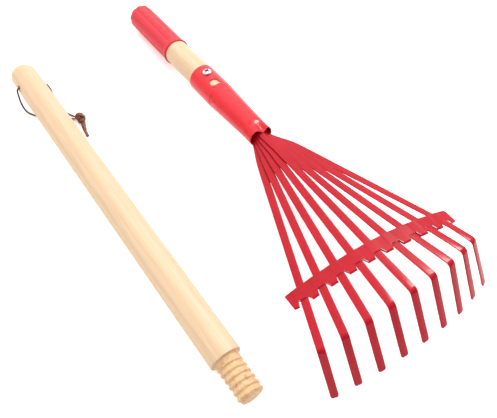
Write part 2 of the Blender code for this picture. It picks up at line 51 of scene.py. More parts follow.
def placed(x, y, z, pitch=0.0, yaw=0.0):
    """A frame at a point in millimetres, pitched up at its front, then turned."""
    return Matrix.Translation(Vector((x, y, z)) * MM) @ Euler((0, -pitch, yaw)).to_matrix().to_4x4()


FLUTES = 10

LAYOUT = Vector((6.359, 29.922, 0.02))
HANDLE = placed(LAYOUT.x, LAYOUT.y - 1.2, LAYOUT.z + 37.54, radians(7.32), radians(-0.28))
FAN = placed(LAYOUT.x, LAYOUT.y, LAYOUT.z + 40.0, radians(3.95), radians(0.44))
POLE_FLOOR = placed(LAYOUT.x + 126.0, LAYOUT.y - 116.0, LAYOUT.z, 0.0, radians(1.66))
POLE = POLE_FLOOR @ placed(0, 0, 12.0, -radians(0.42))
WORLD = Matrix.Identity(4)


# ---------------------------------------------------------------- camera

def add_camera():
    eye = Vector((239.1 + LAYOUT.x, -178.7 + LAYOUT.y, 401.4)) * MM
    aim = Vector((30.5 + LAYOUT.x, -33.2 + LAYOUT.y, 0.0)) * MM
    forward = (aim - eye).normalized()
    right = forward.cross(Vector((0, 0, 1))).normalized()
    up = right.cross(forward)
    roll = radians(0.93)
    right = right * cos(roll) + up * sin(roll)
    up = right.cross(forward)
    data = bpy.data.cameras.new("camera")
    data.sensor_width = 36.0
    data.lens = 43.46
    data.clip_start = 0.01
    made = bpy.data.objects.new("camera", data)
    bpy.context.collection.objects.link(made)
    made.matrix_world = Matrix.Translation(eye) @ Matrix((right, up, -forward)).transposed().to_4x4()
    bpy.context.scene.camera = made


add_camera()


# ---------------------------------------------------------------- materials

def new_material(name):
    made = bpy.data.materials.new(name)
    made.use_nodes = True
    tree = made.node_tree
    return made, tree, tree.nodes["Principled BSDF"]


def node(tree, kind, **values):
    made = tree.nodes.new(kind)
    for key, value in values.items():
        if key in made.inputs:
            made.inputs[key].default_value = value
        else:
            setattr(made, key, value)
    return made


def feed(tree, value, socket):
    """Links a socket, or sets a number or a colour."""
    if isinstance(value, bpy.types.NodeSocket):
        tree.links.new(value, socket)
    else:
        socket.default_value = value


def place(tree, scale=(1, 1, 1), location=(0, 0, 0)):
    """Object coordinates, stretched."""
    where = node(tree, "ShaderNodeTexCoord")
    mapping = node(tree, "ShaderNodeMapping")
    mapping.inputs["Scale"].default_value = scale
    mapping.inputs["Location"].default_value = location
    tree.links.new(where.outputs["Object"], mapping.inputs["Vector"])
    return mapping.outputs["Vector"]


def noise_value(tree, vector, scale, detail=4.0, roughness=0.55, distortion=0.0):
    made = node(tree, "ShaderNodeTexNoise")
    made.inputs["Scale"].default_value = scale
    made.inputs["Detail"].default_value = detail
    made.inputs["Roughness"].default_value = roughness
    made.inputs["Distortion"].default_value = distortion
    tree.links.new(vector, made.inputs["Vector"])
    return made.outputs["Fac"]


def ramp(tree, value, stops):
    made = node(tree, "ShaderNodeValToRGB")
    while len(made.color_ramp.elements) < len(stops):
        made.color_ramp.elements.new(0.5)
    for element, (place_at, colour) in zip(made.color_ramp.elements, stops):
        element.position = place_at
        element.color = (*colour, 1.0)
    tree.links.new(value, made.inputs["Fac"])
    return made.outputs["Color"]


def mix(tree, share, first, second, how="MIX"):
    made = node(tree, "ShaderNodeMix", data_type="RGBA", blend_type=how)
    for value, socket in ((share, made.inputs[0]), (first, made.inputs[6]), (second, made.inputs[7])):
        feed(tree, value, socket)
    return made.outputs[2]


def mix_value(tree, share, first, second):
    made = node(tree, "ShaderNodeMix", data_type="FLOAT")
    for value, socket in ((share, made.inputs[0]), (first, made.inputs[2]), (second, made.inputs[3])):
        feed(tree, value, socket)
    return made.outputs[0]


def math_value(tree, operation, *values):
    made = node(tree, "ShaderNodeMath", operation=operation)
    for value, socket in zip(values, made.inputs):
        feed(tree, value, socket)
    return made.outputs[0]


def object_parts(tree):
    """X, Y and Z of the object coordinates."""
    parts = node(tree, "ShaderNodeSeparateXYZ")
    tree.links.new(node(tree, "ShaderNodeTexCoord").outputs["Object"], parts.inputs["Vector"])
    return parts.outputs


def spread(tree, value, low, high):
    """Maps 0..1 to low..high."""
    made = node(tree, "ShaderNodeMapRange")
    made.inputs["To Min"].default_value = low
    made.inputs["To Max"].default_value = high
    tree.links.new(value, made.inputs["Value"])
    return made.outputs["Result"]


def add_bump(tree, shader, layers):
    """Stacks bumps: (height socket, strength, distance in metres)."""
    normal = None
    for height, strength, distance in layers:
        made = node(tree, "ShaderNodeBump")
        made.inputs["Strength"].default_value = strength
        made.inputs["Distance"].default_value = distance
        tree.links.new(height, made.inputs["Height"])
        if normal:
            tree.links.new(normal, made.inputs["Normal"])
        normal = made.outputs["Normal"]
    tree.links.new(normal, shader.inputs["Normal"])


def enamel_material(name, dark, light, shine):
    made, tree, shader = new_material(name)
    near = place(tree)
    broad = noise_value(tree, near, 34.0, 3.0)
    colour = ramp(tree, broad, [(0.25, dark), (0.75, light)])
    specks = noise_value(tree, near, 900.0, 2.0)
    spots = ramp(tree, specks, [(0.30, (0.80, 0.80, 0.80)), (0.42, (1.0, 1.0, 1.0))])
    colour = mix(tree, 1.0, colour, spots, "MULTIPLY")
    tree.links.new(colour, shader.inputs["Base Color"])
    tree.links.new(spread(tree, noise_value(tree, near, 90.0, 5.0), 0.16, 0.32), shader.inputs["Roughness"])
    shader.inputs["Specular IOR Level"].default_value = shine
    peel = noise_value(tree, near, 420.0, 2.0)
    dents = noise_value(tree, near, 70.0, 2.0)
    add_bump(tree, shader, [(peel, 0.10, 0.0003), (dents, 0.10, 0.0009)])
    return made


def edge_glint_material():
    """A sheared steel edge under a thin red coat, in a pale pink-white that is a painted highlight: with the
    floor's reflection it gives thin bright lines.
    """
    made, tree, shader = new_material("painted_glint_cut_edge")
    near = place(tree)
    colour = ramp(tree, noise_value(tree, near, 240.0, 3.0),
                  [(0.38, (0.80, 0.16, 0.18)), (0.58, (1.0, 0.90, 0.90))])
    tree.links.new(colour, shader.inputs["Base Color"])
    shader.inputs["Metallic"].default_value = 1.0
    tree.links.new(spread(tree, noise_value(tree, near, 900.0), 0.10, 0.24), shader.inputs["Roughness"])
    add_bump(tree, shader, [(noise_value(tree, near, 1200.0, 2.0), 0.08, 0.0001)])
    return made


def flute_shade(tree):
    """Darker along the bottoms of the flutes."""
    parts = object_parts(tree)
    angle = math_value(tree, "ARCTAN2", parts["Y"], parts["Z"])
    wave = math_value(tree, "COSINE", math_value(tree, "MULTIPLY", angle, FLUTES / 2))
    height = math_value(tree, "ABSOLUTE", wave)
    return ramp(tree, height, [(0.0, (0.74, 0.52, 0.54)), (0.34, (1.0, 1.0, 1.0))])


def plastic_material():
    made, tree, shader = new_material("red_moulded_plastic")
    near = place(tree)
    along = place(tree, (0.12, 1, 1))
    colour = ramp(tree, noise_value(tree, along, 120.0, 4.0),
                  [(0.3, (0.55, 0.016, 0.030)), (0.7, (0.64, 0.026, 0.042))])
    colour = mix(tree, 1.0, colour, flute_shade(tree), "MULTIPLY")
    tree.links.new(colour, shader.inputs["Base Color"])
    tree.links.new(spread(tree, noise_value(tree, near, 300.0), 0.42, 0.60), shader.inputs["Roughness"])
    shader.inputs["Specular IOR Level"].default_value = 0.25
    grain = noise_value(tree, near, 1500.0, 3.0)
    drag = noise_value(tree, along, 260.0, 3.0)
    add_bump(tree, shader, [(grain, 0.14, 0.0002), (drag, 0.10, 0.0004)])
    return made


def wood_material(name, pith, cut_from=None):
    """Pale softwood whose growth rings run round a far-off pith; its torn thread starts at cut_from."""
    made, tree, shader = new_material(name)
    ringed = place(tree, (0.10, 1, 1), pith)
    rings = node(tree, "ShaderNodeTexWave", wave_type="RINGS", rings_direction="X", wave_profile="SIN")
    rings.inputs["Scale"].default_value = 52.0
    rings.inputs["Distortion"].default_value = 3.5
    rings.inputs["Detail"].default_value = 3.0
    rings.inputs["Detail Scale"].default_value = 0.6
    tree.links.new(ringed, rings.inputs["Vector"])
    fibres = noise_value(tree, place(tree, (0.025, 1, 1)), 1300.0, 5.0, 0.6)
    streaks = noise_value(tree, place(tree, (0.04, 1, 1)), 160.0, 4.0, 0.6)
    base = ramp(tree, rings.outputs["Fac"], [(0.15, (0.655, 0.485, 0.325)), (0.95, (0.625, 0.440, 0.275))])
    tint = ramp(tree, streaks, [(0.30, (0.95, 0.91, 0.86)), (0.70, (1.0, 1.0, 1.0))])
    base = mix(tree, 0.75, base, tint, "MULTIPLY")
    fine = ramp(tree, fibres, [(0.34, (0.80, 0.70, 0.58)), (0.50, (1.0, 1.0, 1.0))])
    base = mix(tree, 0.45, base, fine, "MULTIPLY")
    pores = noise_value(tree, place(tree, (0.10, 1, 1)), 2400.0, 2.0)
    if cut_from is not None:
        step = node(tree, "ShaderNodeMapRange")
        step.inputs["From Min"].default_value = cut_from - 0.4 * MM
        step.inputs["From Max"].default_value = cut_from + 1.2 * MM
        tree.links.new(object_parts(tree)["X"], step.inputs["Value"])
        patches = ramp(tree, noise_value(tree, place(tree, (0.7, 1, 1)), 420.0, 5.0, 0.7),
                       [(0.32, (0.30, 0.14, 0.055)), (0.47, (0.60, 0.36, 0.17)), (0.72, (0.66, 0.43, 0.24))])
        base = mix(tree, spread(tree, step.outputs["Result"], 0.0, 0.75), base, patches)
    tree.links.new(base, shader.inputs["Base Color"])
    tree.links.new(spread(tree, streaks, 0.40, 0.62), shader.inputs["Roughness"])
    shader.inputs["Specular IOR Level"].default_value = 0.25
    add_bump(tree, shader, [(fibres, 0.16, 0.0002), (rings.outputs["Fac"], 0.04, 0.0002),
                            (pores, 0.08, 0.0001)])
    return made


def steel_material():
    made, tree, shader = new_material("bright_zinc_steel")
    near = place(tree)
    colour = ramp(tree, noise_value(tree, near, 700.0, 3.0),
                  [(0.3, (0.42, 0.43, 0.46)), (0.7, (0.62, 0.63, 0.64))])
    tree.links.new(colour, shader.inputs["Base Color"])
    shader.inputs["Metallic"].default_value = 1.0
    tree.links.new(spread(tree, noise_value(tree, near, 1600.0), 0.16, 0.34), shader.inputs["Roughness"])
    add_bump(tree, shader, [(noise_value(tree, near, 1200.0, 2.0), 0.12, 0.0002)])
    return made


def recess_shade_material():
    # Painted shade: a near-black, dull metal for the inside of the screw's cross recess.
    made, tree, shader = new_material("painted_shade_screw_recess")
    colour = ramp(tree, noise_value(tree, place(tree), 900.0, 3.0),
                  [(0.3, (0.03, 0.03, 0.035)), (0.7, (0.10, 0.10, 0.11))])
    tree.links.new(colour, shader.inputs["Base Color"])
    shader.inputs["Metallic"].default_value = 0.6
    shader.inputs["Roughness"].default_value = 0.6
    return made


def leather_material(name, dark, middle, light):
    made, tree, shader = new_material(name)
    near = place(tree)
    colour = ramp(tree, noise_value(tree, near, 520.0, 5.0, 0.65),
                  [(0.28, dark), (0.52, middle), (0.80, light)])
    tree.links.new(colour, shader.inputs["Base Color"])
    tree.links.new(spread(tree, noise_value(tree, near, 900.0), 0.45, 0.75), shader.inputs["Roughness"])
    grain = node(tree, "ShaderNodeTexVoronoi", feature="DISTANCE_TO_EDGE")
    grain.inputs["Scale"].default_value = 2600.0
    tree.links.new(near, grain.inputs["Vector"])
    creases = noise_value(tree, near, 800.0)
    add_bump(tree, shader, [(grain.outputs["Distance"], 0.35, 0.0002), (creases, 0.3, 0.0003)])
    return made


def floor_material():
    made, tree, shader = new_material("pale_floor")
    near = place(tree)
    colour = ramp(tree, noise_value(tree, near, 6.0), [(0.3, (0.93, 0.93, 0.93)), (0.7, (0.95, 0.95, 0.95))])
    tree.links.new(colour, shader.inputs["Base Color"])
    shader.inputs["Roughness"].default_value = 0.9
    shader.inputs["Specular IOR Level"].default_value = 0.1
    shader.inputs["Emission Color"].default_value = (1.0, 1.0, 1.0, 1.0)
    shader.inputs["Emission Strength"].default_value = 0.25
    return made


ENAMEL = enamel_material("red_enamel_paint", (0.37, 0.003, 0.011), (0.43, 0.005, 0.015), 0.14)
# Painted light: the ferrule's red is a lighter copy of the tines' red, for its rounded top that faces the
# lamps; it is also glossier.
GLOSSY_LIT_ENAMEL = enamel_material("glossy_lit_red_enamel_paint", (0.60, 0.014, 0.024), (0.69, 0.020, 0.032), 0.22)
EDGE_GLINT = edge_glint_material()
PLASTIC = plastic_material()
POLE_WOOD = wood_material("pale_pole_wood", (0, 0.031, 0.052), cut_from=0.0)
GRIP_WOOD = wood_material("pale_grip_wood", (0, -0.043, 0.038))
STEEL = steel_material()
LACE_LEATHER = leather_material(
    "dark_lace_leather", (0.03, 0.016, 0.012), (0.07, 0.032, 0.022), (0.14, 0.07, 0.05))
# Painted light: the knot's leather is a lighter copy of the lace's, for the highlights on the knot.
LIT_KNOT_LEATHER = leather_material(
    "lit_knot_lace_leather", (0.06, 0.018, 0.010), (0.18, 0.046, 0.020), (0.36, 0.11, 0.05))
RECESS_SHADE = recess_shade_material()


# ---------------------------------------------------------------- mesh helpers

def piece(name, points, faces, finish, where, body, nodes, sharp=35, bevel=None):
    """One finished mesh that stands for CAD nodes and rides on a body."""
    made = mesh_object(name, points, faces, finish, where, sharp)
    if bevel:
        edge = made.modifiers.new("Edge", "BEVEL")
        edge.width = bevel
        edge.segments = 2
        edge.limit_method = "ANGLE"
        edge.angle_limit = radians(40)
    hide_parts(*nodes)
    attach(made, body)
    return made


def mesh_object(name, points, faces, finish, where, sharp=35):
    """A mesh set down in its frame. The finishes with a grain or flutes keep that frame's own axes."""
    mesh = bpy.data.meshes.new(name)
    mesh.from_pydata([tuple(p) for p in points], [], faces)
    work = bmesh.new()
    work.from_mesh(mesh)
    bmesh.ops.recalc_face_normals(work, faces=work.faces)
    work.to_mesh(mesh)
    work.free()
    mesh.shade_smooth()
    mesh.set_sharp_from_angle(angle=radians(sharp))
    if finish:
        mesh.materials.append(finish)
    made = bpy.data.objects.new(name, mesh)
    bpy.context.collection.objects.link(made)
    if finish in (POLE_WOOD, GRIP_WOOD, PLASTIC, STEEL):
        made.matrix_world = where
    else:
        mesh.transform(where)
    return made


def band(first, second, count):
    return [(first + j, first + (j + 1) % count, second + (j + 1) % count, second + j) for j in range(count)]


def lofted(rings, caps=True, start=0):
    """Points and faces of a tube through rings of equal point counts."""
    count = len(rings[0])
    points = [p for ring in rings for p in ring]
    faces = []
    for i in range(len(rings) - 1):
        faces += band(start + i * count, start + (i + 1) * count, count)
    if caps:
        faces.append(tuple(range(start, start + count)))
        faces.append(tuple(range(start + len(points) - count, start + len(points))))
    return points, faces


def walled(outer, inner):
    """Points and faces of a tube with a wall."""
    count, rows = len(outer[0]), len(outer)
    points = [p for ring in outer + inner for p in ring]
    faces = []
    for side in (0, rows):
        for i in range(side, side + rows - 1):
            faces += band(i * count, (i + 1) * count, count)
    faces += band(0, rows * count, count)
    faces += band((rows - 1) * count, (2 * rows - 1) * count, count)
    return points, faces


def ring_at(x, radius, count=96):
    """A ring about X, starting at the top. The radius is a number or a function of the angle."""
    ring = []
    for a in turns(count):
        r = radius(a) if callable(radius) else radius
        ring.append(Vector((x, r * sin(a), r * cos(a))))
    return ring


def turns(count):
    return [2 * pi * j / count for j in range(count)]


def circle(radius, z, count):
    return [Vector((radius * cos(a), radius * sin(a), z)) for a in turns(count)]


def carve(target, cutter):
    """Takes the cutter's shape out of the target's mesh, for good."""
    cut = target.modifiers.new("Cut", "BOOLEAN")
    cut.operation = "DIFFERENCE"
    cut.solver = "EXACT"
    cut.object = cutter
    bpy.context.view_layer.update()
    graph = bpy.context.evaluated_depsgraph_get()
    mesh = bpy.data.meshes.new_from_object(target.evaluated_get(graph))
    target.modifiers.remove(cut)
    target.data = mesh
    bpy.data.objects.remove(cutter, do_unlink=True)


def smooth(points, per_span=10):
    """Points along a smooth curve through the given points."""
    path = [2 * points[0] - points[1]] + points + [2 * points[-1] - points[-2]]
    fine = []
    for a, b, c, d in zip(path, path[1:], path[2:], path[3:]):
        for step in range(per_span):
            t = step / per_span
            curve = 2 * b + (c - a) * t + (2 * a - 5 * b + 4 * c - d) * t * t
            fine.append(0.5 * (curve + (3 * b - a - 3 * c + d) * t**3))
    return fine + [points[-1]]


def strip_section(point, along, across, wide, thick, corner):
    """A flat strip's section with rounded edges."""
    up = along.cross(across)
    ring = []
    corner = min(corner, thick / 2 - 0.01 * MM, wide / 2 - 0.01 * MM)
    for sy, sz, turn in ((1, 1, 0), (-1, 1, 1), (-1, -1, 2), (1, -1, 3)):
        for step in range(4):
            a = pi / 2 * (turn + step / 3)
            y = sy * (wide / 2 - corner) + corner * cos(a)
            z = sz * (thick / 2 - corner) + corner * sin(a)
            ring.append(point + across * y + up * z)
    return ring


# ---------------------------------------------------------------- lace

LACE_ROUTE = [
    (253.3, -17.5, 2.6), (255.8, -15.6, 1.2), (259.5, -12.6, 0.85), (264.0, -7.2, 0.85),
    (268.5, -0.9, 0.85), (273.0, 4.6, 0.85), (277.8, 8.9, 0.85), (282.6, 12.2, 0.85),
    (286.9, 14.0, 1.2), (290.6, 14.8, 3.6), (293.9, 14.6, 8.2), (296.6, 13.6, 14.0),
    (298.2, 12.6, 17.4), (298.5, 10.6, 18.0), (298.5, 6.0, 16.4), (298.5, 0.0, 14.2),
    (298.5, -6.0, 12.0), (298.5, -10.6, 10.3), (298.4, -12.6, 9.0), (297.2, -13.6, 6.2),
    (294.2, -13.8, 2.9), (290.0, -13.2, 1.0), (285.0, -12.2, 0.85), (278.5, -11.6, 0.85),
    (271.0, -12.3, 0.85), (263.5, -14.7, 0.85), (258.3, -17.2, 1.2), (255.0, -19.3, 2.6),
]
LACE_WIDTH = 1.45 * MM
LACE_THICK = 0.9 * MM
LACE_LEAN = radians(20)


def on_floor(place_at):
    """A point given as millimetres back from the shoulder, out from the rake, and up."""
    back, aside, height = place_at
    return POLE_FLOOR @ (Vector((-back, -aside, height)) * MM)


def ribbon_rings(path, wide, thick, turn=0.0, taper=0):
    """Sections along a path, carried without twist from their turn at its start."""
    rings = []
    across = None
    for i, point in enumerate(path):
        along = (path[min(i + 1, len(path) - 1)] - path[max(i - 1, 0)]).normalized()
        if across is None:
            across = Vector((0, 0, 1)).cross(along).normalized()
            across = across * cos(turn) + along.cross(across) * sin(turn)
        across = (across - along * along.dot(across)).normalized()
        left = min(i, len(path) - 1 - i)
        share = 1.0 if left >= taper else 0.45 + 0.55 * left / max(taper, 1)
        rings.append(strip_section(point, along, across, wide * share, thick * share, 0.3 * MM))
    return rings


def add_lace():
    path = smooth([on_floor(p) for p in LACE_ROUTE], 8)
    rings = ribbon_rings(path, LACE_WIDTH, LACE_THICK, LACE_LEAN)
    points, faces = lofted(rings)
    made = piece("leather_lace", points, faces, LACE_LEATHER, WORLD, LOOSE, ["hang_lace"], 60)
    knot = add_knot()


def add_knot():
    """A pulled-tight overhand knot: a coil round the core, a strand across it, and two tails."""
    points, faces = [], []
    middle = Vector((250.6, -20.1, 4.1))
    coil = []
    steps = 45
    for i in range(steps + 1):
        a = 2 * pi * i / 20
        swell = 2.75 + 0.4 * sin(a * 0.7 + 0.6)
        lean = 2.3 - 4.3 * i / steps + 0.8 * sin(a)
        coil.append((middle.x + lean, middle.y + swell * cos(a), middle.z + swell * sin(a)))
    core = [(254.6, -18.4, 2.8), (253.0, -19.2, 3.2), (250.8, -20.4, 3.4), (248.8, -20.2, 3.3),
            (247.0, -19.3, 2.6)]
    cross = [(253.2, -17.6, 5.2), (251.6, -20.4, 7.6), (249.5, -23.0, 5.8), (248.7, -23.3, 3.4)]
    long_tail = [(249.6, -20.6, 3.4), (247.4, -19.6, 2.6), (245.0, -18.6, 1.6), (241.5, -17.8, 1.0),
                 (237.0, -17.2, 0.85), (233.6, -16.8, 0.85), (231.4, -16.6, 0.85)]
    short_tail = [(249.8, -21.4, 3.2), (246.9, -20.9, 2.6), (244.2, -19.9, 1.8), (241.6, -18.9, 1.2),
                  (239.0, -18.2, 0.9)]
    for route, wide, thick, turn in (
        (coil, 2.0, 1.6, 0.2), (core, 4.4, 3.8, 0.0), (cross, 2.2, 1.4, 0.0),
        (long_tail, 2.5, 1.2, 0.3), (short_tail, 2.3, 1.2, -0.5),
    ):
        path = smooth([on_floor(p) for p in route], 1 if route is coil else 6)
        rings = ribbon_rings(path, wide * MM, thick * MM, turn, 0 if route is coil else 2)
        more, sides = lofted(rings, start=len(points))
        points += more
        faces += sides
    return piece("leather_lace_knot", points, faces, LIT_KNOT_LEATHER, WORLD, LOOSE, ["lace_knot"], 60)


add_lace()


# ---------------------------------------------------------------- tines and brace

TINES_EACH_SIDE = 4
TINE_WIDTH = 5.75 * MM
TANG_WIDTH = 5.0 * MM
TINE_THICKNESS = 0.9 * MM
TANG_LENGTH = 27.0 * MM
TANG_LEVEL = 1.25 * MM
TANG_SIDE = -1.1 * MM
TANG_FIRST = 0.9 * MM
TANG_STEP = 1.25 * MM
FAN_STEP = 2.15 * MM
FAN_ANGLE = 5.5
FAN_CLOSING = 0.02
FLARE_LENGTH = 22.0 * MM
WIDEN_LENGTH = 30.0 * MM
BEND_AT = 167.0 * MM
BEND_BACK = 0.32 * MM
BEND_RADIUS = 4.5 * MM
ARCH_DROP = 11.8 * MM
TIP_LENGTH = 44.5 * MM
TIP_ANGLE = 60.0
TIP_STEEPER = 0.3
TIP_RUN = 20.0 * MM
TIP_NARROWING = 2.6 * MM
BOW_BEFORE_BEND = 1.2 * MM
TIP_ROLL = radians(10.4)
SHORTER_BEFORE_BEND = {8: 1.2 * MM, 9: 2.4 * MM}
PULLED_IN_AT_BEND = {8: 0.9 * MM, 9: 2.2 * MM}
TIP_LEAN = {8: 0.05, 9: 0.13}
LONGER_TIP = {9: 0.45 * MM}

BRACE_AT = 129.0 * MM
BRACE_REAR = 122.9 * MM
BRACE_CLEAR = 141.0 * MM
BRACE_SIDE = 2.2 * MM
BRACE_HALF_LENGTH = 67.8 * MM
BRACE_DEPTH = 12.2 * MM
BRACE_END_DEPTH = 10.6 * MM
BRACE_END = 8.0 * MM
BRACE_SKEW = radians(4.3)
BRACE_SHEET = 0.7 * MM
BRACE_GAP = 0.75 * MM
NOTCH_DEPTH = 3.2 * MM
NOTCH_INNER = 3.2 * MM
NOTCH_OUTER = 4.6 * MM
NOTCH_SIDE = 0.58 * MM
NOTCH_SIDE_LEAST = 0.2 * MM


def ease(share):
    """Falls smoothly from 1 to 0 as the share goes from 0 to 1."""
    share = min(max(share, 0.0), 1.0)
    return 0.5 + 0.5 * cos(pi * share)


def tine_side(k, u):
    """How far to the side the k-th tine from the middle one lies, u along the fan."""
    if k == 0:
        return 0.0
    line = FAN_STEP * k + u * tan(radians(FAN_ANGLE * k - FAN_CLOSING * k**3))
    tang = TANG_FIRST + TANG_STEP * k
    return tang if u <= 0 else line + (tang - FAN_STEP * k) * ease(u / FLARE_LENGTH)


def bend_at(k):
    return BEND_AT - BEND_BACK * k * k


def tine_level(k, u):
    """How high a tine lies: stacked in the mouth, on the arch at the bend."""
    share = max(u, 0.0) / bend_at(k)
    stacked = TANG_LEVEL * k
    return -(stacked + (ARCH_DROP * k * k / TINES_EACH_SIDE**2 - stacked) * share)


def arch_numbers():
    """Slope and curve of the arch through the first and the outermost tine at the brace."""
    near, far = (tine_side(k, BRACE_AT) for k in (1, TINES_EACH_SIDE))
    near_drop, far_drop = (-tine_level(k, BRACE_AT) for k in (1, TINES_EACH_SIDE))
    curve = (far_drop / far - near_drop / near) / (far - near)
    return near_drop / near - curve * near, curve


ARCH_SLOPE, ARCH_CURVE = arch_numbers()


def arch_height(v):
    """The arch, with its ridge rounded off."""
    flat = 3.0 * MM
    reach = sqrt(v * v + flat * flat) - flat
    return -(ARCH_SLOPE * reach + ARCH_CURVE * v * v)


def arch_tilt(v):
    return atan(ARCH_SLOPE + 2 * ARCH_CURVE * abs(v)) if v else 0.0


def arch_roll(k, u):
    at_brace = arch_tilt(tine_side(k, BRACE_AT))
    if u <= BRACE_CLEAR:
        return at_brace * min(max(u, 0.0) / BRACE_AT, 1.0)
    share = min((u - BRACE_CLEAR) / (bend_at(k) - BRACE_CLEAR), 1.0)
    return at_brace + (TIP_ROLL * k / TINES_EACH_SIDE - at_brace) * share


def tine_path(number, k, side):
    """(point, width) pairs from the tang to the tip."""
    path = []
    stations = [-TANG_LENGTH, -14 * MM] + [i * 3.0 * MM for i in range(0, 15)]
    stations += [i * 8.0 * MM for i in range(6, 16)] + [BRACE_AT, BRACE_CLEAR]
    for u in stations:
        width = TANG_WIDTH + (TINE_WIDTH - TANG_WIDTH) * min(max(u, 0.0) / WIDEN_LENGTH, 1.0)
        if k == 1 and u < 12 * MM:
            width = min(width, 2 * tine_side(1, u) - 0.2 * MM)
        aside = side * tine_side(k, u) + TANG_SIDE * ease(u / FLARE_LENGTH)
        path.append((Vector((u, aside, tine_level(k, u))), width))
    reach = bend_at(k) - SHORTER_BEFORE_BEND.get(number, 0.0)
    aside = tine_side(k, reach) - PULLED_IN_AT_BEND.get(number, 0.0)
    corner = Vector((reach, side * aside, tine_level(k, reach)))
    before = (corner - path[-1][0]).normalized()
    dip = radians(TIP_ANGLE + TIP_STEEPER * k * k)
    after = Vector((cos(dip), side * TIP_LEAN.get(number, 0.0), -sin(dip))).normalized()
    turn = before.angle(after)
    start = corner - before * BEND_RADIUS * tan(turn / 2)
    for t in (0.25, 0.5, 0.65, 0.8, 0.9):
        bow = Vector((0, 0, BOW_BEFORE_BEND * t * t * (1 - t)))
        path.append((start - before * TIP_RUN * (1 - t) + bow, TINE_WIDTH))
    inward = (after - before * before.dot(after)).normalized()
    for j in range(13):
        a = turn * j / 12
        arc = before * (BEND_RADIUS * sin(a)) + inward * (BEND_RADIUS * (1 - cos(a)))
        path.append((start + arc, TINE_WIDTH))
    tip = corner + after * (TIP_LENGTH + LONGER_TIP.get(number, 0.0))
    path.append((tip - after * TIP_RUN, TINE_WIDTH))
    rounding = (2.2, 1.6, 1.1, 0.7, 0.4, 0.18, 0.05)
    for back in rounding:
        share = 1 - back / rounding[0]
        path.append((tip - after * back * MM, TINE_WIDTH - TIP_NARROWING * (1 - sqrt(1 - share * share))))
    return path


def add_tine(number):
    k = abs(number - 1 - TINES_EACH_SIDE)
    side = -1 if number <= TINES_EACH_SIDE else 1
    path = tine_path(number, k, side)
    rings = []
    across = Vector((0.0, 1.0, 0.0))
    for i, (point, width) in enumerate(path):
        along = (path[min(i + 1, len(path) - 1)][0] - path[max(i - 1, 0)][0]).normalized()
        if along.z > -0.2:
            roll = arch_roll(k, point.x)
            across = Vector((0.0, cos(roll), -side * sin(roll)))
        across = (across - along * along.dot(across)).normalized()
        rings.append(strip_section(point, along, across, width, TINE_THICKNESS, 0.28 * MM))
    points, faces = lofted(rings)
    piece(f"rake_tine_{number}", points, faces, ENAMEL, FAN, RAKE, [f"tine_{number}"], 50)


def notch_middle(k):
    """Where the brace's notch for a tine is centred; k is below 0 on the left."""
    along_side = (1 if k > 0 else -1) * tine_side(abs(k), BRACE_AT + 8 * MM)
    return along_side + max(NOTCH_SIDE * (1 - k), NOTCH_SIDE_LEAST)


def notch_depth(v):
    """How far the notch at the nearest tine cuts back into the brace at v."""
    deep = 0.0
    for k in range(-TINES_EACH_SIDE, TINES_EACH_SIDE + 1):
        off = abs(v - notch_middle(k))
        share = (NOTCH_OUTER - off) / (NOTCH_OUTER - NOTCH_INNER)
        deep = max(deep, NOTCH_DEPTH * min(max(share, 0.0), 1.0))
    return deep


def brace_front(v):
    depth = BRACE_DEPTH
    to_end = BRACE_HALF_LENGTH - abs(v - BRACE_SIDE)
    if to_end < BRACE_END:
        depth -= (BRACE_DEPTH - BRACE_END_DEPTH) * (1 - to_end / BRACE_END)
    return depth


def over_tine(v):
    """1 where the sheet is pressed up over a tine, 0 between them."""
    best = 0.0
    for k in range(-TINES_EACH_SIDE, TINES_EACH_SIDE + 1):
        off = abs(v - (1 if k > 0 else -1) * tine_side(abs(k), BRACE_AT))
        best = max(best, 1.0 if off < 2.9 * MM else ease((off - 2.9 * MM) / (2.4 * MM)))
    return best


def brace_point(u, v, height):
    """A point of the brace: height is counted square to the arch."""
    tilt = (1 if v > 0 else -1) * arch_tilt(v) * min(abs(v) / (6 * MM), 1.0)
    return Vector((u, v + sin(tilt) * height, arch_height(v) + cos(tilt) * height))


def brace_stations():
    low, high = BRACE_SIDE - BRACE_HALF_LENGTH, BRACE_SIDE + BRACE_HALF_LENGTH
    stations = [low + (high - low) * i / 200 for i in range(201)]
    for k in range(-TINES_EACH_SIDE, TINES_EACH_SIDE + 1):
        middle = notch_middle(k)
        for off in (-NOTCH_OUTER, -NOTCH_INNER, NOTCH_INNER, NOTCH_OUTER):
            stations = [v for v in stations if abs(v - middle - off) > 0.25 * MM]
            stations.append(middle + off)
    return sorted(stations)


